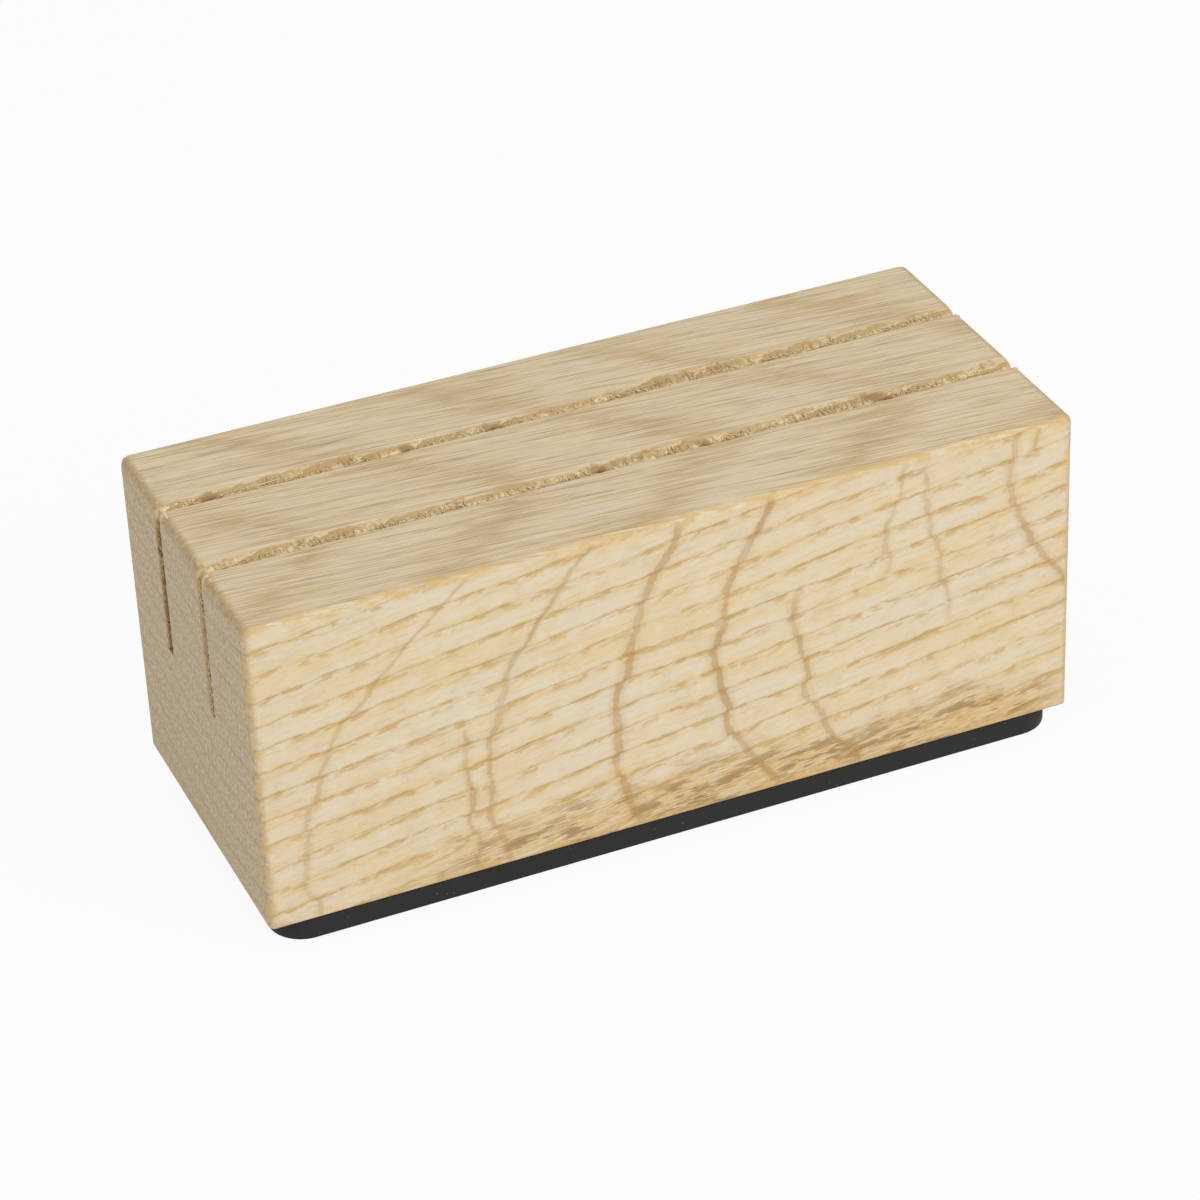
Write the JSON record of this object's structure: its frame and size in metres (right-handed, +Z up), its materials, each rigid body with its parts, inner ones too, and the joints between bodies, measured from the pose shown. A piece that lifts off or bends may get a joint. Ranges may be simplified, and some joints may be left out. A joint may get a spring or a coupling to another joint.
{
  "type": "menu holder",
  "caption": "Oak block with narrow sawn slots along its top that hold menu cards upright, standing on a thin rubber anti-slip pad with rounded corners.",
  "frame": {"origin": "middle of the rubber pad's underside, on the surface that the holder stands on", "axes": "+X along the block and its slots, +Y from the front face to the back, +Z up"},
  "size_m": [0.12, 0.05, 0.0508],
  "materials": {
    "oak": "sanded pale oak, quartersawn face with pore dashes and ray flecks, matt clear finish",
    "adhesive": "thin cloudy adhesive film",
    "rubber": "matt black rubber with fine light specks"
  },
  "bodies": {
    "root": {"oak_block": "oak", "adhesive_film": "adhesive", "rubber_pad": "rubber"}
  },
  "joints": []
}
